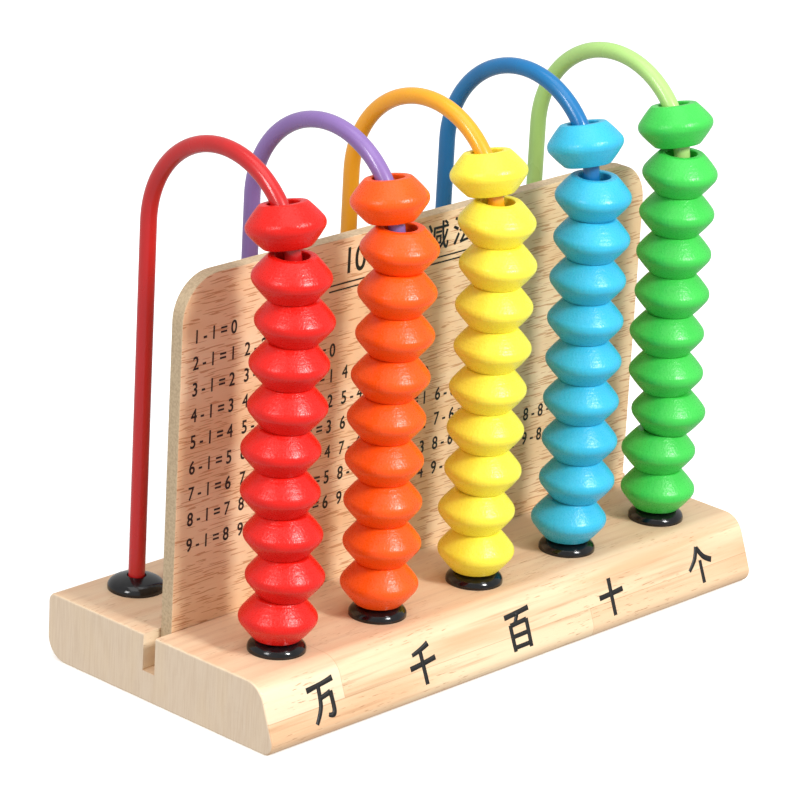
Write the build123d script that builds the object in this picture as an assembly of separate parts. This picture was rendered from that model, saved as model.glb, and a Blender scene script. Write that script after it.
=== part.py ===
"""Toy calculating frame: five bent wires of ten beads standing over an upright table board.

Units are millimetres. +X runs along the row of wires, -Y is the side the beads are stored on,
+Z is up, and the origin is the middle of the base's underside.
"""
from build123d import *
import os
from math import asin, atan, atan2, cos, degrees, hypot, radians, sin, sqrt, tan

# ---- base plank ----
base_length = 228.0
base_depth = 103.0
base_height = 22.5
front_lean = 8.4            # how far the front face's foot stands out beyond its head
top_front_round = 8.0
toe_round = 4.0
back_bottom_round = 8.0
back_top_round = 3.0
end_round = 0.8             # sanded edge round each end face

# ---- groove and table board ----
spine_y = 4.3               # middle of the groove and of the arches, behind the base's middle
board_thickness = 4.8
board_height = 128.6
board_end_margin = 7.0      # base length left bare beyond each end of the board
board_corner_round = 14.5
board_edge_round = 0.3
groove_depth = 12.4
groove_side_gap = 0.3
groove_floor_gap = 0.1

# ---- wires ----
wire_diameter = 5.4
wire_end_margin = 24.0      # from a base end to the nearest wire
leg_inset = 19.4            # base depth left outside the two rows of legs, half of it each side
wire_seat = 15.0            # length of each leg inside the base
wire_tip_chamfer = 0.6
leg_spare = 1.1             # straight leg left above the ninth bead's middle

# ---- collars ----
collar_diameter = 18.7
collar_rim = 0.8
collar_rise = 4.6           # height of the dome over the base
collar_mouth_gap = 0.45     # wider mouth round the wire, through the dome
spigot_diameter = 9.6
spigot_length = 5.0
spigot_floor_gap = 0.2
snug = 0.02                 # radial gap of a pushed-in fit
dome_rim_share = 0.97       # of the radius, where the dome has turned over from the rim
dome_lead = (-1, 0.15)      # way the dome's curve runs into the mouth

# ---- beads ----
bead_count = 10
bead_diameter = 25.0
bead_thickness = 13.85
bead_bore_gap = 2.5         # radial gap between the wire and the bead's bore
bead_land = 2.3             # width of the flat ring round the bore
bead_ridge_round = 3.0
bead_ridge_turn = 36.0      # degrees of the ridge's round on each side, before the flank starts
bead_land_round = 0.8
bead_bore_round = 0.5
bead_gap = 0.03
bead_seat_gap = 0.06
perch_gaps = [0.12, 0.12, 0.12, 1.5, 0.12]      # between each top bead and the one below it
perch_slacks = [15.0, 17.0, 15.0, 11.0, 13.0]   # degrees that it hangs straighter than its wire
lean_way = -46.0            # direction that a loose bead leans in, in degrees from +X

# How far each loose bead sits off its wire, from the second one up to the eighth.
bead_leans = [
    (1.6, 0.4, -1.0, -1.4, 0.1, 0.0, 1.1),
    (0.2, -0.2, -0.4, -0.4, 0.2, 0.9, 0.9),
    (-0.6, 0.7, 0.7, 0.7, 1.4, 1.1, 1.5),
    (1.8, 1.8, 1.4, 1.3, 1.0, 0.9, 1.3),
    (-0.7, 1.7, -0.1, -0.8, -0.1, -0.5, -0.5),
]
ninth_shifts = [-0.6, 1.3, 0.6, 1.3, -0.7]    # the same for the ninth beads, along X only

# One row per wire: name of the beads, name of the wire, extra height of its hand-made bend.
columns = [
    ("red", "red", 0.0),
    ("orange", "purple", 0.0),
    ("yellow", "amber", 0.0),
    ("sky", "blue", 2.6),
    ("green", "lime", 0.6),
]

# ---- worked out from the sizes above ----
wire_pitch = (base_length - 2 * wire_end_margin) / (len(columns) - 1)
arch_radius = base_depth / 2 - leg_inset
front_y = spine_y - arch_radius
back_y = spine_y + arch_radius
wire_radius = wire_diameter / 2
bore_radius = wire_radius + bead_bore_gap
land_radius = bore_radius + bead_land
bead_radius = bead_diameter / 2
half_bead = bead_thickness / 2
collar_radius = collar_diameter / 2
groove_floor = base_height - groove_depth
board_length = base_length - 2 * board_end_margin
bead_pitch = bead_thickness + bead_gap
perch_radius = arch_radius - half_bead**2 / (2 * arch_radius)


def dome_height(radius):
    """Height of the collar's dome over the base at a distance from the wire's axis."""
    return collar_rim + (collar_rise - collar_rim) * sqrt(1 - (radius / collar_radius) ** 2)


def tier_z(tier):
    """Height of the middle of a bead on the straight leg, with tier 1 at the bottom."""
    first = base_height + dome_height(bore_radius) + bead_seat_gap + half_bead
    return first + (tier - 1) * bead_pitch


def spring_z(extra):
    """Height where a wire's arch starts, above its straight legs."""
    return tier_z(bead_count - 1) + leg_spare + extra


def perch_angle(index, spring):
    """Angle round the arch, in radians, where the top bead's edge meets the ninth bead."""
    slack = radians(perch_slacks[index])
    top_face = tier_z(bead_count - 1) + half_bead + perch_gaps[index] - spring
    inward = perch_radius - half_bead * sin(slack) - land_radius * cos(slack)
    upward = half_bead * cos(slack) - land_radius * sin(slack)
    return atan2(upward, inward) + asin(top_face / hypot(inward, upward))


def column_x(index):
    """Place of a wire along the row."""
    return (index - (len(columns) - 1) / 2) * wire_pitch


def base_section():
    """Outline of the plank's end: upright back, sloping front, four rounded corners."""
    toe_angle = radians(90) - atan(front_lean / base_height)
    toe = -base_depth / 2 - toe_round * (1 / tan(toe_angle / 2) - 1)
    corners = [
        (toe, 0),
        (base_depth / 2, 0),
        (base_depth / 2, base_height),
        (toe + front_lean, base_height),
    ]
    rounds = [toe_round, back_bottom_round, back_top_round, top_front_round]
    outline = make_face(Polyline(*corners, close=True))
    for corner, size in zip(corners, rounds):
        nearest = outline.vertices().sort_by_distance((*corner, 0))[0]
        outline = fillet(nearest, size)
    return outline


def make_base():
    """Plank with an open-ended groove for the board and a stepped hole for each leg."""
    outline = Plane.YZ * base_section()
    plank = extrude(outline, amount=base_length / 2, both=True)
    ends = plank.faces().filter_by(Axis.X)
    plank = fillet(ends.edges(), end_round)
    groove = Box(
        base_length + 2,
        board_thickness + 2 * groove_side_gap,
        groove_depth + 1,
        align=(Align.CENTER, Align.CENTER, Align.MIN),
    )
    plank -= Pos(0, spine_y, groove_floor) * groove
    for index in range(len(columns)):
        for leg_y in (front_y, back_y):
            plank -= Pos(column_x(index), leg_y, base_height) * leg_hole()
    return plank


def leg_hole():
    """Stepped hole, hanging from the origin: wide for the collar's spigot, then the wire's."""
    down = (Align.CENTER, Align.CENTER, Align.MAX)
    wide_depth = spigot_length + spigot_floor_gap
    wide = Cylinder(spigot_diameter / 2 + snug, wide_depth, align=down)
    narrow = Cylinder(wire_radius + snug, wire_seat, align=down)
    mouth = Cylinder(spigot_diameter / 2 + snug, 1, align=(Align.CENTER, Align.CENTER, Align.MIN))
    return wide + narrow + mouth


def make_board():
    """Upright table board with its two top corners rounded."""
    centre_z = groove_floor + groove_floor_gap + board_height / 2
    blank = Pos(0, spine_y, centre_z) * Box(board_length, board_thickness, board_height)
    top_corners = blank.edges().filter_by(Axis.Y).group_by(Axis.Z)[-1]
    board = fillet(top_corners, board_corner_round)
    faces = board.faces().filter_by(Axis.Y)
    return fillet(faces.edges(), board_edge_round)


def make_wire(spring):
    """Round wire: two straight legs seated in the base, joined by a half-circle arch."""
    foot_z = base_height - wire_seat
    front_leg = Line((0, front_y, foot_z), (0, front_y, spring))
    arch = ThreePointArc((0, front_y, spring), (0, spine_y, spring + arch_radius), (0, back_y, spring))
    back_leg = Line((0, back_y, spring), (0, back_y, foot_z))
    section = Plane((0, front_y, foot_z), z_dir=(0, 0, 1)) * Circle(wire_radius)
    wire = sweep(section, path=Wire([front_leg, arch, back_leg]))
    tips = wire.faces().group_by(Axis.Z)[0]
    return chamfer(tips.edges(), wire_tip_chamfer)


def make_collar():
    """Domed flange over the base with a spigot below it and a mouth wider than the wire."""
    mouth = wire_radius + collar_mouth_gap
    hole = wire_radius + snug
    crown = dome_height(mouth)
    mid_radius = collar_radius / sqrt(2)
    outline = [
        Line((hole, -spigot_length), (spigot_diameter / 2, -spigot_length)),
        Line((spigot_diameter / 2, -spigot_length), (spigot_diameter / 2, 0)),
        Line((spigot_diameter / 2, 0), (collar_radius, 0)),
        Line((collar_radius, 0), (collar_radius, collar_rim)),
        dome_curve(mid_radius, mouth, crown),
        Line((mouth, crown), (mouth, 0)),
        Line((mouth, 0), (hole, 0)),
        Line((hole, 0), (hole, -spigot_length)),
    ]
    section = Plane.XZ * make_face(outline)
    return revolve(section, Axis.Z)


def dome_curve(mid_radius, mouth, crown):
    """Outer curve of the dome, from the rim's top edge up to the mouth."""
    steps = [collar_radius, dome_rim_share * collar_radius, mid_radius, (mid_radius + mouth) / 2]
    points = [(radius, dome_height(radius)) for radius in steps]
    return Spline(*points, (mouth, crown), tangents=[(0, 1), dome_lead])


def make_bead():
    """Double cone with a rounded ridge, faintly bulging flanks and a wide bore."""
    turn = radians(bead_ridge_turn)
    ridge_centre = bead_radius - bead_ridge_round
    shoulder = (ridge_centre + bead_ridge_round * cos(turn), bead_ridge_round * sin(turn))
    rim = (land_radius, half_bead)
    ridge = ThreePointArc((shoulder[0], -shoulder[1]), (bead_radius, 0), shoulder)
    flank = TangentArc(shoulder, rim, tangent=(-sin(turn), cos(turn)))
    inside = Polyline(rim, (bore_radius, half_bead), (bore_radius, -half_bead), (land_radius, -half_bead))
    outline = make_face([ridge, flank, mirror(flank, Plane.XZ), inside])
    corners = outline.vertices().filter_by(lambda corner: abs(abs(corner.Y) - half_bead) < 0.01)
    outer = corners.sort_by(Axis.X)[2:]
    outline = fillet(outer, bead_land_round)
    corners = outline.vertices().sort_by(Axis.X)
    outline = fillet(corners[:2], bead_bore_round)
    return revolve(Plane.XZ * outline, Axis.Z)


def bead_place(index, tier, spring):
    """Where a bead sits: loosely on the straight leg, or hung on the arch's start."""
    x = column_x(index)
    if tier == bead_count:
        angle = perch_angle(index, spring)
        y = spine_y - perch_radius * cos(angle)
        z = spring + perch_radius * sin(angle)
        return Pos(x, y, z) * Rot(perch_slacks[index] - degrees(angle), 0, 0)
    if tier == 1:
        return Pos(x, front_y, tier_z(tier))
    if tier == bead_count - 1:
        return Pos(x + ninth_shifts[index], front_y, tier_z(tier))
    lean = bead_leans[index][tier - 2]
    side, back = lean * cos(radians(lean_way)), lean * sin(radians(lean_way))
    return Pos(x + side, front_y + back, tier_z(tier))


def save(part, name):
    """Write one node."""
    part.label = name
    export_step(part, os.path.join("parts", name + ".step"))


def main():
    """Build and write every piece."""
    os.makedirs("parts", exist_ok=True)
    save(make_base(), "base")
    save(make_board(), "board")
    collar = make_collar()
    for name, leg_y in (("front_collars", front_y), ("back_collars", back_y)):
        places = [Pos(column_x(index), leg_y, base_height) for index in range(len(columns))]
        save(Compound(children=[place * collar for place in places]), name)
    bead = make_bead()
    for index, (bead_name, wire_name, extra) in enumerate(columns):
        spring = spring_z(extra)
        save(Pos(column_x(index), 0, 0) * make_wire(spring), wire_name + "_wire")
        for tier in range(1, bead_count + 1):
            place = bead_place(index, tier, spring)
            save(place * bead, f"{bead_name}_bead_{tier:02d}")
        print(
            f"{bead_name}: arch starts at {spring:.3f}, arch radius {arch_radius:.3f}, "
            f"top bead perched at {degrees(perch_angle(index, spring)):.3f} degrees"
        )


main()
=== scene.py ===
"""Toy calculating frame: wood, printed board, lacquered wires and painted beads on a studio floor."""

import logging
import math
from dataclasses import dataclass, field
from enum import Enum

import bmesh
import bpy
from mathutils import Matrix, Vector


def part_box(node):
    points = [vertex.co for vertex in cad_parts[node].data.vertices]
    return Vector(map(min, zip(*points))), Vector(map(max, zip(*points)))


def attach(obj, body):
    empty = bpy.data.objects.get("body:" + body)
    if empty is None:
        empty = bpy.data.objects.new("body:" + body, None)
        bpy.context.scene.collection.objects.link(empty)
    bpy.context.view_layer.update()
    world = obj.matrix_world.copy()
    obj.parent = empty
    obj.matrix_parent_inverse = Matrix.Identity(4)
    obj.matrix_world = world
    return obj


LOG = logging.getLogger("calculating_frame")
MM = 0.001
TOUCHING = 0.0005 * MM


def linear(hex_colour: str) -> tuple[float, float, float, float]:
    """Turn an sRGB hex value into the linear colour that shaders use.

    Args:
        hex_colour: Colour such as "#e8c08f".

    Returns:
        Linear red, green and blue, with an alpha of 1.
    """
    channels = [int(hex_colour[i:i + 2], 16) / 255 for i in (1, 3, 5)]
    rgb = [c / 12.92 if c <= 0.04045 else ((c + 0.055) / 1.055) ** 2.4 for c in channels]
    return (rgb[0], rgb[1], rgb[2], 1.0)


def add_node(
    tree: bpy.types.NodeTree, kind: str, inputs: dict | None = None, **settings: object
) -> bpy.types.Node:
    """Add a node with its settings and links.

    Args:
        tree: Node tree that the node joins.
        kind: Node type, such as "ShaderNodeTexNoise".
        inputs: Socket name or number to a value, or to the output socket that feeds it.
        settings: Properties of the node itself.

    Returns:
        The new node.
    """
    node = tree.nodes.new(kind)
    for name, value in settings.items():
        setattr(node, name, value)
    for key, value in (inputs or {}).items():
        if isinstance(value, bpy.types.NodeSocket):
            tree.links.new(value, node.inputs[key])
        else:
            node.inputs[key].default_value = value
    return node


class Grain(Enum):
    """Size of one cell of a pattern along X, Y and Z, in millimetres."""

    WOOD_WAVES = (75.0, 6.0, 4.5)
    WOOD_STREAKS = (48.0, 2.4, 1.5)
    WOOD_PORES = (4.5, 0.42, 0.42)
    PORE_PATCHES = (34.0, 9.0, 7.0)
    SANDED_FIBRES = (2.4, 0.22, 0.22)
    END_LINES = (9.0, 0.6, 9.0)
    END_BANDS = (40.0, 8.0, 30.0)
    VENEER_CLOUDS = (70.0, 40.0, 20.0)
    VENEER_THREADS = (22.0, 6.0, 0.7)
    VENEER_FLECKS = (6.0, 3.0, 0.42)
    BOARD_FIBRES = (0.8, 0.8, 0.8)
    PAINT_PATCHES = (9.0, 9.0, 7.0)
    TURNING_RINGS = (60.0, 60.0, 0.6)
    RAISED_GRAIN = (0.7, 0.7, 4.5)
    PAINT_NIBS = (0.55, 0.55, 0.55)
    LACQUER_DRIFT = (9.0, 9.0, 22.0)
    LACQUER_PEEL = (1.1, 1.1, 1.1)
    PLASTIC_MARKS = (1.8, 1.8, 1.8)
    INK_GAPS = (1.8, 0.5, 0.5)
    PAPER_HAZE = (900.0, 900.0, 900.0)

    def scale(self) -> tuple[float, float, float]:
        """Cells for each metre along X, Y and Z."""
        return (1 / (self.value[0] * MM), 1 / (self.value[1] * MM), 1 / (self.value[2] * MM))


class Finish:
    """Start of every finish: an empty tree with its shader, and object coordinates to pattern it by."""

    def start(self, name: str) -> None:
        """Start the material.

        Args:
            name: What the finish is and how it was made.
        """
        self.made = bpy.data.materials.new(name)
        self.made.use_nodes = True
        self.tree = self.made.node_tree
        self.tree.nodes.clear()
        self.shader = add_node(self.tree, "ShaderNodeBsdfPrincipled")
        add_node(self.tree, "ShaderNodeOutputMaterial", {"Surface": self.shader.outputs[0]})
        self.coords = add_node(self.tree, "ShaderNodeTexCoord")

    def pattern(self, grain: Grain, low: float, high: float, detail: float = 2.0) -> bpy.types.NodeSocket:
        """Soft pattern of a stated size, from 0 below the low mark to 1 above the high mark.

        Args:
            grain: Size of the pattern's cells.
            low: Noise value that becomes 0.
            high: Noise value that becomes 1.
            detail: Number of finer octaves.

        Returns:
            Socket with the pattern.
        """
        place = {"Vector": self.coords.outputs["Object"], "Scale": grain.scale()}
        spread = add_node(self.tree, "ShaderNodeMapping", place)
        cells = add_node(
            self.tree, "ShaderNodeTexNoise", {"Vector": spread.outputs[0], "Scale": 1.0, "Detail": detail}
        )
        limits = {"Value": cells.outputs[0], "From Min": low, "From Max": high}
        return add_node(self.tree, "ShaderNodeMapRange", limits, interpolation_type="SMOOTHSTEP").outputs[0]

    def tint(
        self, under: bpy.types.NodeSocket | str, over: bpy.types.NodeSocket | str, mask: bpy.types.NodeSocket,
        strength: float,
    ) -> bpy.types.NodeSocket:
        """Lay one colour over another where a mask says.

        Args:
            under: Colour where the mask is 0, as a socket or hex value.
            over: Colour where the mask is 1, as a socket or hex value.
            mask: Where the upper colour lies.
            strength: Most that the upper colour covers.

        Returns:
            Socket with the colour.
        """
        share = add_node(self.tree, "ShaderNodeMath", {0: mask, 1: strength}, operation="MULTIPLY").outputs[0]
        pair = [linear(colour) if isinstance(colour, str) else colour for colour in (under, over)]
        mixed = {0: share, 6: pair[0], 7: pair[1]}
        return add_node(self.tree, "ShaderNodeMix", mixed, data_type="RGBA").outputs[2]

    def surface(
        self, colour: bpy.types.NodeSocket, gloss: tuple[bpy.types.NodeSocket, float, float],
        reliefs: list[tuple[bpy.types.NodeSocket, float]], ior: float,
    ) -> bpy.types.Material:
        """Join the colour, roughness and fine relief to the shader.

        Args:
            colour: Base colour.
            gloss: Pattern of the roughness, and the roughness where it is 0 and where it is 1.
            reliefs: Height patterns with their real depth in millimetres, coarse ones first.
            ior: Index of refraction.

        Returns:
            The finished material.
        """
        self.tree.links.new(colour, self.shader.inputs["Base Color"])
        span = {"Value": gloss[0], "To Min": gloss[1], "To Max": gloss[2]}
        rough = add_node(self.tree, "ShaderNodeMapRange", span)
        self.tree.links.new(rough.outputs[0], self.shader.inputs["Roughness"])
        normal = None
        for height, depth in reliefs:
            inputs = {"Height": height, "Distance": depth * MM, "Strength": 1.0}
            if normal is not None:
                inputs["Normal"] = normal
            normal = add_node(self.tree, "ShaderNodeBump", inputs).outputs[0]
        self.tree.links.new(normal, self.shader.inputs["Normal"])
        self.shader.inputs["IOR"].default_value = ior
        return self.made


@dataclass
class RubberwoodPlank(Finish):
    """Sanded rubberwood glued up from two layers of blocks, under thin clear lacquer.

    The eye gets long pale grain with brown streaks and short pores, a tone of its own for each block,
    hair-thin glue lines, and upright lines on the end grain. Faces that look up carry a painted shade,
    darker and pinker than the front.
    """

    cream: str = "#ead0aa"
    tan: str = "#dcb188"
    brown: str = "#ac784e"
    # Painted shade for faces that look up: darker and pinker than the front, which the key light falls on.
    painted_top_shade: str = "#d9b798"
    pale: str = "#f0dcbc"
    end_pale: str = "#e6d0b6"
    end_dark: str = "#cdb091"
    layer_seam: float = 10.5 * MM
    pale_block_end: float = -80.5 * MM
    lower_joint: float = 34.0 * MM
    glue_line: float = 0.22 * MM

    def split(
        self, axis: bpy.types.NodeSocket, at: float
    ) -> tuple[bpy.types.NodeSocket, bpy.types.NodeSocket]:
        """Part the plank at one place along an axis.

        Args:
            axis: Coordinate that is split.
            at: Where the joint is.

        Returns:
            1 beyond the joint and 0 before it, and 1 on the glue line.
        """
        beyond = add_node(self.tree, "ShaderNodeMath", {0: axis, 1: at}, operation="GREATER_THAN").outputs[0]
        near = {0: axis, 1: at, 2: self.glue_line / 2}
        return beyond, add_node(self.tree, "ShaderNodeMath", near, operation="COMPARE").outputs[0]

    def material(self) -> bpy.types.Material:
        """Build the wood.

        Returns:
            The material for the plank.
        """
        self.start("sanded_rubberwood")
        tree = self.tree
        axes = add_node(tree, "ShaderNodeSeparateXYZ", {0: self.coords.outputs["Object"]})
        facing = add_node(tree, "ShaderNodeSeparateXYZ", {0: self.coords.outputs["Normal"]})
        upper, layer_line = self.split(axes.outputs[2], self.layer_seam)
        past_pale, pale_line = self.split(axes.outputs[0], self.pale_block_end)
        past_lower, lower_line = self.split(axes.outputs[0], self.lower_joint)
        pale = add_node(tree, "ShaderNodeMath", {0: upper, 1: past_pale}, operation="GREATER_THAN").outputs[0]
        past_both = {0: past_lower, 1: upper}
        dusky = add_node(tree, "ShaderNodeMath", past_both, operation="GREATER_THAN").outputs[0]

        wood = self.tint(self.cream, self.tan, self.pattern(Grain.WOOD_WAVES, 0.34, 0.70, 3.0), 1.0)
        wood = self.tint(wood, self.tan, dusky, 0.45)
        streaks = self.pattern(Grain.WOOD_STREAKS, 0.50, 0.74, 4.0)
        wood = self.tint(wood, self.brown, streaks, 0.45)
        upward = {"Value": facing.outputs[2], "From Min": 0.6, "From Max": 0.95}
        up = add_node(tree, "ShaderNodeMapRange", upward)
        not_top = {0: pale, 1: up.outputs[0]}
        front_pale = add_node(tree, "ShaderNodeMath", not_top, operation="SUBTRACT", use_clamp=True)
        wood = self.tint(wood, self.pale, front_pale.outputs[0], 0.65)
        # Painted shade: upward faces are laid in a darker, pinker tone than the front.
        wood = self.tint(wood, self.painted_top_shade, up.outputs[0], 0.55)
        pores = self.pattern(Grain.WOOD_PORES, 0.63, 0.73, 1.0)
        patches = self.pattern(Grain.PORE_PATCHES, 0.40, 0.62, 1.0)
        pitted = add_node(tree, "ShaderNodeMath", {0: pores, 1: patches}, operation="MULTIPLY").outputs[0]
        wood = self.tint(wood, self.brown, pitted, 0.6)

        ends = self.tint(self.end_pale, self.end_dark, self.pattern(Grain.END_LINES, 0.30, 0.78, 3.0), 0.4)
        ends = self.tint(ends, self.cream, self.pattern(Grain.END_BANDS, 0.42, 0.72), 0.25)
        turned = add_node(tree, "ShaderNodeMath", {0: facing.outputs[0]}, operation="ABSOLUTE").outputs[0]
        cut = {"Value": turned, "From Min": 0.75, "From Max": 0.95}
        is_end = add_node(tree, "ShaderNodeMapRange", cut).outputs[0]
        up_line = add_node(tree, "ShaderNodeMath", {0: pale_line, 1: upper}, operation="MULTIPLY").outputs[0]
        below = {0: lower_line, 1: upper}
        low_line = add_node(tree, "ShaderNodeMath", below, operation="GREATER_THAN").outputs[0]
        lines = add_node(tree, "ShaderNodeMath", {0: up_line, 1: low_line}, operation="MAXIMUM").outputs[0]
        lines = add_node(tree, "ShaderNodeMath", {0: lines, 1: layer_line}, operation="MAXIMUM").outputs[0]
        colour = self.tint(self.tint(wood, self.brown, lines, 0.45), ends, is_end, 1.0)
        fibres = self.pattern(Grain.SANDED_FIBRES, 0.25, 0.75)
        pits = add_node(tree, "ShaderNodeMath", {0: 1.0, 1: pitted}, operation="SUBTRACT").outputs[0]
        return self.surface(colour, (fibres, 0.42, 0.60), [(fibres, 0.02), (pits, 0.05)], 1.48)


@dataclass
class BeechPrintBoard(Finish):
    """Thin fibreboard faced with a beech print under satin lacquer.

    The eye gets short reddish flecks along the length on both faces, and bare grey-brown fibre on the
    cut edges.
    """

    light: str = "#ecd0aa"
    warm: str = "#e3bc90"
    fleck: str = "#b47a4c"
    fibre: str = "#c7b08f"
    fibre_dark: str = "#ab9477"

    def material(self) -> bpy.types.Material:
        """Build the faced board.

        Returns:
            The material for the table board.
        """
        self.start("beech_print_on_fibreboard")
        facing = add_node(self.tree, "ShaderNodeSeparateXYZ", {0: self.coords.outputs["Normal"]})
        face = self.tint(self.light, self.warm, self.pattern(Grain.VENEER_CLOUDS, 0.34, 0.68, 3.0), 1.0)
        face = self.tint(face, self.warm, self.pattern(Grain.VENEER_THREADS, 0.45, 0.75), 0.45)
        flecks = self.pattern(Grain.VENEER_FLECKS, 0.62, 0.68, 0.0)
        face = self.tint(face, self.fleck, flecks, 0.7)
        fibres = self.pattern(Grain.BOARD_FIBRES, 0.35, 0.70, 3.0)
        edge = self.tint(self.fibre, self.fibre_dark, fibres, 0.7)
        flat = add_node(self.tree, "ShaderNodeMath", {0: facing.outputs[1]}, operation="ABSOLUTE").outputs[0]
        steep = {"Value": flat, "From Min": 0.8, "From Max": 0.97}
        is_face = add_node(self.tree, "ShaderNodeMapRange", steep)
        colour = self.tint(edge, face, is_face.outputs[0], 1.0)
        inverse = add_node(self.tree, "ShaderNodeMath", {0: 1.0, 1: flecks}, operation="SUBTRACT").outputs[0]
        return self.surface(
            colour, (is_face.outputs[0], 0.85, 0.40), [(fibres, 0.01), (inverse, 0.015)], 1.48
        )


@dataclass
class TumbledBeadPaint(Finish):
    """Semi-gloss paint tumbled onto turned wood.

    The eye gets faint turning rings, upright raised grain and small nibs, seen mostly in the highlights.
    """

    name: str
    colour: str
    shade: str

    def material(self) -> bpy.types.Material:
        """Build the paint.

        Returns:
            The material for the beads of one colour.
        """
        self.start(f"{self.name}_tumbled_bead_paint")
        grain = self.pattern(Grain.RAISED_GRAIN, 0.30, 0.75)
        nibs = self.pattern(Grain.PAINT_NIBS, 0.30, 0.75, 3.0)
        rings = self.pattern(Grain.TURNING_RINGS, 0.25, 0.75)
        colour = self.tint(self.colour, self.shade, self.pattern(Grain.PAINT_PATCHES, 0.35, 0.75), 0.35)
        colour = self.tint(colour, self.shade, grain, 0.15)
        self.shader.inputs["Specular IOR Level"].default_value = 0.4
        return self.surface(colour, (nibs, 0.24, 0.42), [(rings, 0.03), (grain, 0.042), (nibs, 0.013)], 1.5)


@dataclass
class BakedWireLacquer(Finish):
    """Lacquer baked on bent steel wire.

    The eye gets a smooth deep gloss with a slight orange peel and slow waves of thickness.
    """

    name: str
    colour: str
    shade: str

    def material(self) -> bpy.types.Material:
        """Build the lacquer.

        Returns:
            The material for one wire.
        """
        self.start(f"{self.name}_baked_wire_lacquer")
        drift = self.pattern(Grain.LACQUER_DRIFT, 0.35, 0.75)
        peel = self.pattern(Grain.LACQUER_PEEL, 0.25, 0.75, 1.0)
        colour = self.tint(self.colour, self.shade, drift, 0.4)
        self.shader.inputs["Coat Weight"].default_value = 0.3
        self.shader.inputs["Coat Roughness"].default_value = 0.08
        return self.surface(colour, (drift, 0.24, 0.36), [(peel, 0.006)], 1.5)


@dataclass
class MouldedBlackAbs(Finish):
    """ABS moulded in a polished tool.

    The eye gets deep black with sharp small highlights, and light handling marks that dull them in places.
    """

    black: str = "#08080a"
    worn: str = "#17171a"

    def material(self) -> bpy.types.Material:
        """Build the plastic.

        Returns:
            The material for the collars.
        """
        self.start("moulded_black_abs")
        marks = self.pattern(Grain.PLASTIC_MARKS, 0.35, 0.75, 3.0)
        colour = self.tint(self.black, self.worn, marks, 0.7)
        return self.surface(colour, (marks, 0.10, 0.22), [(marks, 0.004)], 1.53)


@dataclass
class ScreenInk(Finish):
    """Ink screen-printed on lacquered wood.

    The eye gets a nearly black matt film that is a little thin over the grain.
    """

    ink: str = "#0b0908"
    thin: str = "#241a14"

    def material(self) -> bpy.types.Material:
        """Build the ink.

        Returns:
            The material for the print and the marks.
        """
        self.start("screen_printed_ink")
        gaps = self.pattern(Grain.INK_GAPS, 0.50, 0.80)
        colour = self.tint(self.ink, self.thin, gaps, 0.5)
        return self.surface(colour, (gaps, 0.45, 0.70), [(gaps, 0.004)], 1.5)


@dataclass
class StudioPaper(Finish):
    """Matt white background paper lit from below, with the faintest haze in its tone."""

    white: str = "#fafafa"
    haze: str = "#f4f4f3"
    back_light: float = 0.30

    def material(self) -> bpy.types.Material:
        """Build the paper.

        Returns:
            The material for the studio floor.
        """
        self.start("studio_background_paper")
        clouds = self.pattern(Grain.PAPER_HAZE, 0.3, 0.7)
        self.shader.inputs["Emission Color"].default_value = linear(self.white)
        self.shader.inputs["Emission Strength"].default_value = self.back_light
        colour = self.tint(self.white, self.haze, clouds, 0.5)
        return self.surface(colour, (clouds, 0.88, 0.92), [(clouds, 0.01)], 1.4)


def dress(node: bpy.types.Object, material: bpy.types.Material) -> None:
    """Give a carried-over node its one finish."""
    node.data.materials.clear()
    node.data.materials.append(material)


class ShapeTree:
    """Geometry Nodes tree with named inputs, whose result is kept as a plain mesh."""

    def __init__(self, name: str, sizes: dict[str, object]) -> None:
        """Start the tree.

        Args:
            name: Name of the tree.
            sizes: Each named input with its value.
        """
        kinds = {int: "NodeSocketInt", float: "NodeSocketFloat", str: "NodeSocketString"}
        self.sizes = sizes
        self.tree = bpy.data.node_groups.new(name, "GeometryNodeTree")
        self.tree.interface.new_socket("Geometry", in_out="OUTPUT", socket_type="NodeSocketGeometry")
        for label, value in sizes.items():
            kind = kinds.get(type(value), "NodeSocketObject")
            self.tree.interface.new_socket(label, in_out="INPUT", socket_type=kind)
        self.given = self.tree.nodes.new("NodeGroupInput").outputs

    def make(self, name: str, shape: bpy.types.NodeSocket, finish: bpy.types.Material) -> bpy.types.Object:
        """Realise the shape, dress it and keep it as a plain mesh.

        Args:
            name: Name of the finished piece.
            shape: Socket with the shape.
            finish: Material of the piece.

        Returns:
            The finished piece, at the origin.
        """
        real = add_node(self.tree, "GeometryNodeRealizeInstances", {0: shape})
        coat = {"Geometry": real.outputs[0], "Material": finish}
        dressed = add_node(self.tree, "GeometryNodeSetMaterial", coat)
        add_node(self.tree, "NodeGroupOutput", {0: dressed.outputs[0]})
        carrier = bpy.data.objects.new(f"{name}_carrier", bpy.data.meshes.new(f"{name}_carrier"))
        bpy.context.scene.collection.objects.link(carrier)
        modifier = carrier.modifiers.new("shape", "NODES")
        modifier.node_group = self.tree
        for item in self.tree.interface.items_tree:
            if item.in_out == "INPUT":
                modifier[item.identifier] = self.sizes[item.name]
        bpy.context.view_layer.update()
        solid = carrier.evaluated_get(bpy.context.evaluated_depsgraph_get())
        mesh = bpy.data.meshes.new_from_object(solid)
        mesh.name = name
        bpy.data.objects.remove(carrier)
        work = bmesh.new()
        work.from_mesh(mesh)
        bmesh.ops.remove_doubles(work, verts=work.verts, dist=TOUCHING)
        bmesh.ops.recalc_face_normals(work, faces=work.faces)
        work.to_mesh(mesh)
        work.free()
        piece = bpy.data.objects.new(name, mesh)
        bpy.context.scene.collection.objects.link(piece)
        LOG.info("%s: %d faces", name, len(mesh.polygons))
        return piece


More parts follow.
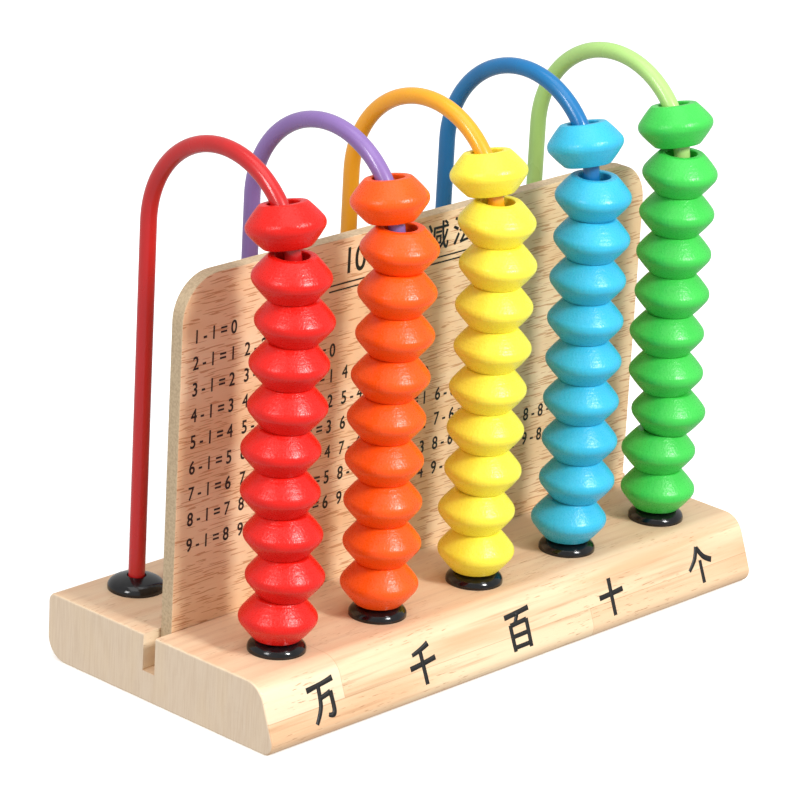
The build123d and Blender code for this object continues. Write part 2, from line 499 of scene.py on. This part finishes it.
@dataclass
class BaseAndBoard:
    """Plank, printed board's blank, and the two rows of wire collars."""

    wood: RubberwoodPlank = field(default_factory=RubberwoodPlank)
    faced_board: BeechPrintBoard = field(default_factory=BeechPrintBoard)
    plastic: MouldedBlackAbs = field(default_factory=MouldedBlackAbs)

    def build(self) -> None:
        """Dress the plank, board and collars."""
        dress(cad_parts["base"], self.wood.material())
        dress(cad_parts["board"], self.faced_board.material())
        black = self.plastic.material()
        for row in ("front_collars", "back_collars"):
            dress(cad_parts[row], black)
        LOG.info("plank, board and collars dressed")


@dataclass
class WireRow:
    """Five bent wires, each in its own lacquer."""

    lacquers: tuple[BakedWireLacquer, ...] = (
        BakedWireLacquer("red", "#c41a1c", "#ac1416"),
        BakedWireLacquer("purple", "#8a6cac", "#7c5ea0"),
        BakedWireLacquer("amber", "#f4a81c", "#e89a12"),
        BakedWireLacquer("blue", "#0670ac", "#06629c"),
        BakedWireLacquer("lime", "#aed87e", "#a2ce6c"),
    )

    def build(self) -> list[float]:
        """Lacquer every wire.

        Returns:
            Place of each wire along the row.
        """
        places = []
        for lacquer in self.lacquers:
            name = f"{lacquer.name}_wire"
            dress(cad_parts[name], lacquer.material())
            low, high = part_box(name)
            places.append((low[0] + high[0]) / 2)
            LOG.info("%s at %.1f mm", name, places[-1] / MM)
        return places


@dataclass
class BeadColumns:
    """Fifty painted beads, ten of one colour on each wire."""

    paints: tuple[TumbledBeadPaint, ...] = (
        TumbledBeadPaint("red", "#e21a10", "#c8120c"),
        TumbledBeadPaint("orange", "#fd5a0c", "#f24a06"),
        TumbledBeadPaint("yellow", "#faee4a", "#f0de34"),
        TumbledBeadPaint("sky", "#3ab8dc", "#26a4cc"),
        TumbledBeadPaint("green", "#44cc52", "#30b842"),
    )
    beads_per_wire: int = 10

    def build(self) -> None:
        """Paint every bead."""
        for paint in self.paints:
            material = paint.material()
            for tier in range(1, self.beads_per_wire + 1):
                dress(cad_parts[f"{paint.name}_bead_{tier:02d}"], material)
            LOG.info("%s beads painted", paint.name)


class PlaceMark(Enum):
    """Place-value mark under each wire, as pen strokes on a unit square.

    Each point of a stroke has the pen's width there.
    """

    TEN_THOUSANDS = (
        ((0.00, 0.88, 1.2), (0.30, 0.91, 1.0), (0.70, 0.95, 1.0), (1.00, 1.00, 1.2)),
        ((0.44, 0.92, 1.0), (0.44, 0.60, 1.0), (0.38, 0.28, 1.1), (0.14, 0.00, 0.9)),
        ((0.44, 0.60, 1.0), (0.62, 0.62, 1.0), (0.84, 0.68, 1.1)),
        ((0.84, 0.70, 1.1), (0.86, 0.42, 1.0), (0.86, 0.18, 1.1), (0.78, 0.08, 1.2), (0.62, 0.14, 0.8)),
    )
    THOUSANDS = (
        ((0.82, 1.00, 1.2), (0.58, 0.90, 1.1), (0.16, 0.82, 0.8)),
        ((0.00, 0.50, 1.1), (0.50, 0.53, 1.0), (1.00, 0.60, 1.1)),
        ((0.48, 0.86, 1.0), (0.50, 0.50, 1.0), (0.52, 0.00, 1.0)),
    )
    HUNDREDS = (
        ((0.00, 0.92, 1.1), (0.50, 0.95, 1.0), (1.00, 1.00, 1.1)),
        ((0.52, 0.94, 1.0), (0.46, 0.82, 1.0), (0.36, 0.70, 0.8)),
        ((0.18, 0.70, 1.0), (0.18, 0.35, 1.0), (0.20, 0.00, 1.0)),
        ((0.18, 0.68, 1.0), (0.50, 0.70, 0.9), (0.84, 0.72, 1.0)),
        ((0.84, 0.74, 1.0), (0.84, 0.40, 1.0), (0.84, 0.00, 1.0)),
        ((0.20, 0.38, 0.9), (0.50, 0.39, 0.9), (0.84, 0.40, 0.9)),
        ((0.20, 0.10, 0.9), (0.50, 0.10, 0.9), (0.84, 0.11, 0.9)),
    )
    TENS = (
        ((0.00, 0.56, 1.1), (0.50, 0.58, 1.0), (1.00, 0.62, 1.1)),
        ((0.50, 1.00, 1.1), (0.50, 0.50, 1.0), (0.51, 0.00, 1.0)),
    )
    UNITS = (
        ((0.46, 1.00, 1.1), (0.38, 0.78, 1.1), (0.22, 0.58, 1.0), (0.00, 0.42, 0.8)),
        ((0.46, 0.98, 1.0), (0.60, 0.76, 1.1), (0.78, 0.62, 1.2), (1.00, 0.54, 1.2)),
        ((0.52, 0.62, 0.9), (0.52, 0.30, 0.9), (0.53, 0.00, 1.0)),
    )


@dataclass
class InkedPlaceMarks:
    """Five place-value marks inked on the plank's sloping front, one under each wire."""

    ink: bpy.types.Material
    mark_height: float = 12.6 * MM
    mark_width: float = 11.6 * MM
    pen_width: float = 1.6 * MM
    ink_height: float = 0.07 * MM
    ink_bite: float = 0.04 * MM
    stroke_step: float = 0.003 * MM
    middle_z: float = 11.7 * MM

    def slope(self) -> tuple[Vector, float]:
        """Find the plank's sloping front.

        Returns:
            The point on the slope at the marks' middle, at X of 0, and the slope's angle above level.
        """
        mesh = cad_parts["base"].data
        unturned = [p for p in mesh.polygons if abs(p.normal.x) < 0.01]
        flats = [p for p in unturned if p.normal.y < -0.7 and p.normal.z > 0.1]
        face = max(flats, key=lambda polygon: polygon.area)
        corner, normal = mesh.vertices[face.vertices[0]].co, face.normal
        y = corner.y - (self.middle_z - corner.z) * normal.z / normal.y
        return Vector((0.0, y, self.middle_z)), math.atan2(-normal.y, normal.z)

    def strokes(self, mark: PlaceMark, x: float) -> bpy.types.Object:
        """Write a mark's strokes as pen lines on a level sheet.

        Args:
            mark: Mark to write.
            x: Place of its middle along the plank.

        Returns:
            Curve object with one smooth line for each stroke.
        """
        lines = bpy.data.curves.new(mark.name.lower(), "CURVE")
        lines.dimensions = "3D"
        for order, stroke in enumerate(mark.value):
            line = lines.splines.new("NURBS")
            line.points.add(len(stroke) - 1)
            for point, (u, v, width) in zip(line.points, stroke):
                spot = (x + (u - 0.5) * self.mark_width, (v - 0.5) * self.mark_height)
                point.co = (spot[0], spot[1], order * self.stroke_step, 1.0)
                point.radius = width
            line.order_u = 3
            line.use_endpoint_u = True
            line.resolution_u = 8
        return bpy.data.objects.new(lines.name, lines)

    def write(self, mark: PlaceMark, x: float) -> bpy.types.Object:
        """Sweep the pen along every stroke and lay the result on the slope.

        Args:
            mark: Mark to write.
            x: Place of its middle along the plank.

        Returns:
            The finished mark.
        """
        lines = self.strokes(mark, x)
        middle, angle = self.slope()
        film = self.ink_height + self.ink_bite
        sizes = {"Strokes": lines, "Pen Width": self.pen_width, "Film": film, "Slope": angle}
        shape = ShapeTree(f"{mark.name.lower()}_strokes", sizes)
        tree, given = shape.tree, shape.given
        source = add_node(tree, "GeometryNodeObjectInfo", {"Object": given["Strokes"]})
        nib = add_node(
            tree,
            "GeometryNodeCurvePrimitiveQuadrilateral",
            {"Width": given["Pen Width"], "Height": given["Film"]},
        )
        radius = add_node(tree, "GeometryNodeInputRadius")
        body = add_node(
            tree, "GeometryNodeCurveToMesh",
            {
                "Curve": source.outputs["Geometry"], "Profile Curve": nib.outputs[0],
                "Scale": radius.outputs[0], "Fill Caps": True,
            },
        )
        turn = add_node(tree, "ShaderNodeCombineXYZ", {0: given["Slope"]})
        up = Vector((0.0, math.cos(angle), math.sin(angle)))
        out = Vector((0.0, -up.z, up.y))
        place = middle + out * (film / 2 - self.ink_bite)
        laid = add_node(
            tree, "GeometryNodeTransform",
            {"Geometry": body.outputs[0], "Translation": place, "Rotation": turn.outputs[0]},
        )
        piece = shape.make(f"mark_{mark.name.lower()}", laid.outputs[0], self.ink)
        bpy.data.objects.remove(lines)
        return piece

    def build(self, wire_places: list[float]) -> None:
        """Ink one mark under each wire.

        Args:
            wire_places: The wires' places along the plank, in metres.
        """
        for mark, x in zip(PlaceMark, wire_places):
            piece = self.write(mark, x)
            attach(piece, "frame")


@dataclass(frozen=True)
class HeadingLine:
    """One run of heading characters: its left end and foot on the board, and how its letters are set."""

    name: str
    text: str
    left: float
    foot: float
    size: float
    spacing: float
    narrowing: float


@dataclass
class PrintedTable:
    """Subtraction table, its heading and the heading's double rule, printed on the board's front."""

    ink: bpy.types.Material
    rows: int = 9
    digit_size: float = 6.2 * MM
    digit_narrowing: float = 0.84
    digit_spacing: float = 1.57
    first_x: float = -102.0 * MM
    first_z: float = 117.2 * MM
    entry_step: float = 22.1 * MM
    row_step: float = 8.6 * MM
    ink_height: float = 0.05 * MM
    ink_bite: float = 0.03 * MM
    table_spread: float = 0.10 * MM
    heading_spread: float = 0.12 * MM
    heading: tuple[HeadingLine, ...] = (
        HeadingLine("heading_digits_print", "10", -37.6 * MM, 126.8 * MM, 12.4 * MM, 1.0, 0.84),
        HeadingLine("heading_words_print", "以内减法", -23.3 * MM, 127.3 * MM, 10.4 * MM, 1.30, 1.0),
    )
    rule_zs: tuple[float, float] = (123.8 * MM, 121.9 * MM)
    rule_xs: tuple[float, float] = (-43.4 * MM, 34.5 * MM)
    rule_weight: float = 0.5 * MM

    def press(
        self, tree: bpy.types.NodeTree, lines: bpy.types.NodeSocket, spread: float
    ) -> bpy.types.NodeSocket:
        """Fill level letter outlines, give them the ink's thickness and stand them against the board.

        Args:
            tree: Tree that the nodes join.
            lines: Letter outlines in the XY plane.
            spread: How far the ink runs out beyond each outline.

        Returns:
            Socket with the closed letters in place.
        """
        film = self.ink_height + self.ink_bite
        flat = add_node(tree, "GeometryNodeFillCurve", {0: lines}, mode="TRIANGLES").outputs[0]
        raised = add_node(
            tree, "GeometryNodeExtrudeMesh", {"Mesh": flat, "Offset Scale": film, "Individual": False}
        )
        back = add_node(tree, "GeometryNodeFlipFaces", {0: flat})
        closed = add_node(tree, "GeometryNodeJoinGeometry", {0: back.outputs[0]})
        tree.links.new(raised.outputs[0], closed.inputs[0])
        whole = add_node(tree, "GeometryNodeMergeByDistance", {0: closed.outputs[0], "Distance": TOUCHING})
        facing = add_node(tree, "GeometryNodeInputNormal").outputs[0]
        in_sheet = {0: facing, 1: (1.0, 1.0, 0.0)}
        level = add_node(tree, "ShaderNodeVectorMath", in_sheet, operation="MULTIPLY").outputs[0]
        outward = add_node(tree, "ShaderNodeVectorMath", {0: level}, operation="NORMALIZE").outputs[0]
        creep = {0: outward, "Scale": spread}
        run = add_node(tree, "ShaderNodeVectorMath", creep, operation="SCALE").outputs[0]
        spread_out = add_node(tree, "GeometryNodeSetPosition", {"Geometry": whole.outputs[0], "Offset": run})
        back_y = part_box("board")[0][1] + self.ink_bite
        stood = {
            "Geometry": spread_out.outputs[0],
            "Translation": (0.0, back_y, 0.0),
            "Rotation": (math.pi / 2, 0.0, 0.0),
        }
        return add_node(tree, "GeometryNodeTransform", stood).outputs[0]

    def table(self) -> bpy.types.Object:
        """Print every entry of the table, one in each pass of a repeat zone.

        Returns:
            The print as a plain mesh object.
        """
        sizes = {
            "Rows": self.rows, "Digit Size": self.digit_size, "Spacing": self.digit_spacing,
            "Entry Step": self.entry_step, "Row Step": self.row_step,
        }
        shape = ShapeTree("subtraction_table", sizes)
        tree, given = shape.tree, shape.given
        start = add_node(tree, "GeometryNodeRepeatInput")
        end = add_node(tree, "GeometryNodeRepeatOutput")
        start.pair_with_output(end)
        next_row = add_node(tree, "ShaderNodeMath", {0: given["Rows"], 1: 1.0}, operation="ADD").outputs[0]
        doubled = {0: given["Rows"], 1: next_row}
        twice = add_node(tree, "ShaderNodeMath", doubled, operation="MULTIPLY").outputs[0]
        count = add_node(tree, "ShaderNodeMath", {0: twice, 1: 0.5}, operation="MULTIPLY").outputs[0]
        tree.links.new(count, start.inputs["Iterations"])

        entry = start.outputs["Iteration"]
        # The row of an entry is the whole part of (root of (8 * entry + 1) - 1) / 2, rounded safely.
        eight = {0: entry, 1: 8.0, 2: 1.001}
        under_root = add_node(tree, "ShaderNodeMath", eight, operation="MULTIPLY_ADD").outputs[0]
        root = add_node(tree, "ShaderNodeMath", {0: under_root}, operation="SQRT").outputs[0]
        halved = {0: root, 1: 0.5, 2: -0.5}
        half = add_node(tree, "ShaderNodeMath", halved, operation="MULTIPLY_ADD").outputs[0]
        row = add_node(tree, "ShaderNodeMath", {0: half}, operation="FLOOR").outputs[0]
        whole = add_node(tree, "ShaderNodeMath", {0: row, 1: 1.0}, operation="ADD").outputs[0]
        pairs = add_node(tree, "ShaderNodeMath", {0: row, 1: whole}, operation="MULTIPLY").outputs[0]
        above = add_node(tree, "ShaderNodeMath", {0: pairs, 1: 0.5}, operation="MULTIPLY").outputs[0]
        column = add_node(tree, "ShaderNodeMath", {0: entry, 1: above}, operation="SUBTRACT").outputs[0]
        taken = add_node(tree, "ShaderNodeMath", {0: column, 1: 1.0}, operation="ADD").outputs[0]
        left = add_node(tree, "ShaderNodeMath", {0: whole, 1: taken}, operation="SUBTRACT").outputs[0]
        text = "w-t=l"
        for letter, number in (("w", whole), ("t", taken), ("l", left)):
            digits = add_node(tree, "FunctionNodeValueToString", {0: number}).outputs[0]
            swap = {"String": text, "Find": letter, "Replace": digits}
            text = add_node(tree, "FunctionNodeReplaceString", swap).outputs[0]
        letters = add_node(
            tree, "GeometryNodeStringToCurves",
            {"String": text, "Size": given["Digit Size"], "Character Spacing": given["Spacing"]},
        )
        lines = add_node(tree, "GeometryNodeRealizeInstances", {0: letters.outputs[0]}).outputs[0]
        across = {0: column, 1: given["Entry Step"], 2: self.first_x}
        down = {0: row, 1: given["Row Step"]}
        x = add_node(tree, "ShaderNodeMath", across, operation="MULTIPLY_ADD").outputs[0]
        drop = add_node(tree, "ShaderNodeMath", down, operation="MULTIPLY").outputs[0]
        y = add_node(tree, "ShaderNodeMath", {0: self.first_z, 1: drop}, operation="SUBTRACT").outputs[0]
        spot = add_node(tree, "ShaderNodeCombineXYZ", {0: x, 1: y}).outputs[0]
        place = {"Geometry": lines, "Translation": spot, "Scale": (self.digit_narrowing, 1.0, 1.0)}
        set_down = add_node(tree, "GeometryNodeTransform", place).outputs[0]
        so_far = add_node(tree, "GeometryNodeJoinGeometry", {0: set_down})
        tree.links.new(start.outputs["Geometry"], so_far.inputs[0])
        tree.links.new(so_far.outputs[0], end.inputs["Geometry"])
        pressed = self.press(tree, end.outputs["Geometry"], self.table_spread)
        return shape.make("table_print", pressed, self.ink)

    def line(self, words: HeadingLine) -> bpy.types.Object:
        """Print one run of the heading.

        Args:
            words: Run to print.

        Returns:
            The finished piece.
        """
        sizes = {"Text": words.text, "Letter Size": words.size, "Spacing": words.spacing}
        shape = ShapeTree(words.name, sizes)
        tree, given = shape.tree, shape.given
        letters = add_node(
            tree, "GeometryNodeStringToCurves",
            {"String": given["Text"], "Size": given["Letter Size"], "Character Spacing": given["Spacing"]},
        )
        lines = add_node(tree, "GeometryNodeRealizeInstances", {0: letters.outputs[0]}).outputs[0]
        place = {
            "Geometry": lines,
            "Translation": (words.left, words.foot, 0.0),
            "Scale": (words.narrowing, 1.0, 1.0),
        }
        set_down = add_node(tree, "GeometryNodeTransform", place).outputs[0]
        return shape.make(words.name, self.press(tree, set_down, self.heading_spread), self.ink)

    def rules(self) -> bpy.types.Object:
        """Print the double rule under the heading.

        Returns:
            The rule as a plain mesh object.
        """
        shape = ShapeTree("heading_rules", {"Count": len(self.rule_zs), "Weight": self.rule_weight})
        tree, given = shape.tree, shape.given
        film = self.ink_height + self.ink_bite
        size = {0: self.rule_xs[1] - self.rule_xs[0], 1: film, 2: given["Weight"]}
        corner = add_node(tree, "ShaderNodeCombineXYZ", size)
        bar = add_node(tree, "GeometryNodeMeshCube", {"Size": corner.outputs[0]})
        first = (sum(self.rule_xs) / 2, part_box("board")[0][1] + self.ink_bite - film / 2, self.rule_zs[0])
        apart = (0.0, 0.0, self.rule_zs[1] - self.rule_zs[0])
        steps = {"Count": given["Count"], "Start Location": first, "Offset": apart}
        places = add_node(tree, "GeometryNodeMeshLine", steps).outputs[0]
        bars = add_node(tree, "GeometryNodeInstanceOnPoints", {"Points": places, "Instance": bar.outputs[0]})
        return shape.make("rule_print", bars.outputs[0], self.ink)

    def build(self) -> None:
        """Print all of it and let it ride on the board."""
        for piece in (self.table(), *map(self.line, self.heading), self.rules()):
            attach(piece, "table_board")


@dataclass(frozen=True)
class Softbox:
    """One soft light.

    Its place around the object is in degrees, its power in watts and its size in metres.
    """

    name: str
    azimuth: float
    elevation: float
    power: float
    size: tuple[float, float]


@dataclass
class Studio:
    """White paper floor, softboxes and the portrait camera."""

    azimuth: float = -47.01
    elevation: float = 19.91
    roll: float = 3.124
    aim: Vector = field(default_factory=lambda: Vector((-6.2, 3.1, 73.5)) * MM)
    distance: float = 1450.8 * MM
    lens: float = 201.0
    shift_x: float = -0.0006
    shift_y: float = 0.0136
    sight_range: float = 20.0
    floor_side: float = 6.0
    light_reach: float = 1.6
    softboxes: tuple[Softbox, ...] = (
        Softbox("left_softbox", -86.0, 34.0, 8.5, (0.35, 0.6)),
        Softbox("right_softbox", 4.0, 38.0, 21.0, (0.26, 0.4)),
        Softbox("top_softbox", -40.0, 80.0, 6.0, (1.2, 1.2)),
    )
    glow: str = "#ffffff"
    glow_strength: float = 0.62

    def camera(self) -> None:
        """Place the camera."""
        turn, rise, lean = (math.radians(angle) for angle in (self.azimuth, self.elevation, self.roll))
        ahead = Vector((-math.sin(turn) * math.cos(rise), math.cos(turn) * math.cos(rise), -math.sin(rise)))
        level = Vector((math.cos(turn), math.sin(turn), 0.0))
        above = level.cross(ahead)
        right = level * math.cos(lean) + above * math.sin(lean)
        up = above * math.cos(lean) - level * math.sin(lean)
        lens = bpy.data.cameras.new("portrait_camera")
        lens.lens, lens.clip_end = self.lens, self.sight_range
        lens.shift_x, lens.shift_y = self.shift_x, self.shift_y
        camera = bpy.data.objects.new("portrait_camera", lens)
        axes = Matrix((right, up, -ahead)).transposed().to_4x4()
        camera.matrix_world = Matrix.Translation(self.aim - ahead * self.distance) @ axes
        bpy.context.scene.collection.objects.link(camera)
        bpy.context.scene.camera = camera

    def floor(self) -> None:
        """Lay the paper floor under the plank."""
        half = self.floor_side / 2
        mesh = bpy.data.meshes.new("studio_floor")
        corners = [(-half, -half, 0.0), (half, -half, 0.0), (half, half, 0.0), (-half, half, 0.0)]
        mesh.from_pydata(corners, [], [(0, 1, 2, 3)])
        mesh.materials.append(StudioPaper().material())
        floor = bpy.data.objects.new("studio_floor", mesh)
        bpy.context.scene.collection.objects.link(floor)
        floor.visible_glossy = False
        floor.visible_diffuse = False

    def hang(self, box: Softbox) -> None:
        """Hang one softbox so that it faces the middle of the object.

        Args:
            box: The softbox, with its place, power and size.
        """
        turn, rise = math.radians(box.azimuth), math.radians(box.elevation)
        back = Vector((math.sin(turn) * math.cos(rise), -math.cos(turn) * math.cos(rise), math.sin(rise)))
        light = bpy.data.lights.new(box.name, "AREA")
        light.shape, light.energy = "RECTANGLE", box.power
        light.size, light.size_y = box.size
        lamp = bpy.data.objects.new(box.name, light)
        turned = (-back).to_track_quat("-Z", "Y").to_matrix().to_4x4()
        lamp.matrix_world = Matrix.Translation(self.aim + back * self.light_reach) @ turned
        bpy.context.scene.collection.objects.link(lamp)

    def build(self) -> None:
        """Set up the whole studio."""
        self.camera()
        self.floor()
        for box in self.softboxes:
            self.hang(box)
        world = bpy.data.worlds.new("studio_glow")
        world.use_nodes = True
        sky = world.node_tree.nodes["Background"]
        sky.inputs["Color"].default_value = linear(self.glow)
        sky.inputs["Strength"].default_value = self.glow_strength
        bpy.context.scene.world = world
        bpy.context.scene.view_settings.view_transform = "Standard"
        LOG.info("studio set")


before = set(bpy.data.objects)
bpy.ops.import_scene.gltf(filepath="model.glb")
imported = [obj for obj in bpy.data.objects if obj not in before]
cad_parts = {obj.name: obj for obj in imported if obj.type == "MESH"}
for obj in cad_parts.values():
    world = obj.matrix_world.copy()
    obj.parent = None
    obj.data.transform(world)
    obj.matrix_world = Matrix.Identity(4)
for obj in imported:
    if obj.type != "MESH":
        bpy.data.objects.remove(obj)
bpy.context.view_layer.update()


def main() -> None:
    """Build every sub-assembly in order."""
    logging.basicConfig(level=logging.INFO, format="%(name)s: %(message)s")
    Studio().build()
    BaseAndBoard().build()
    wire_places = WireRow().build()
    BeadColumns().build()
    ink = ScreenInk().material()
    PrintedTable(ink).build()
    InkedPlaceMarks(ink).build(wire_places)


if __name__ == "__main__":
    main()
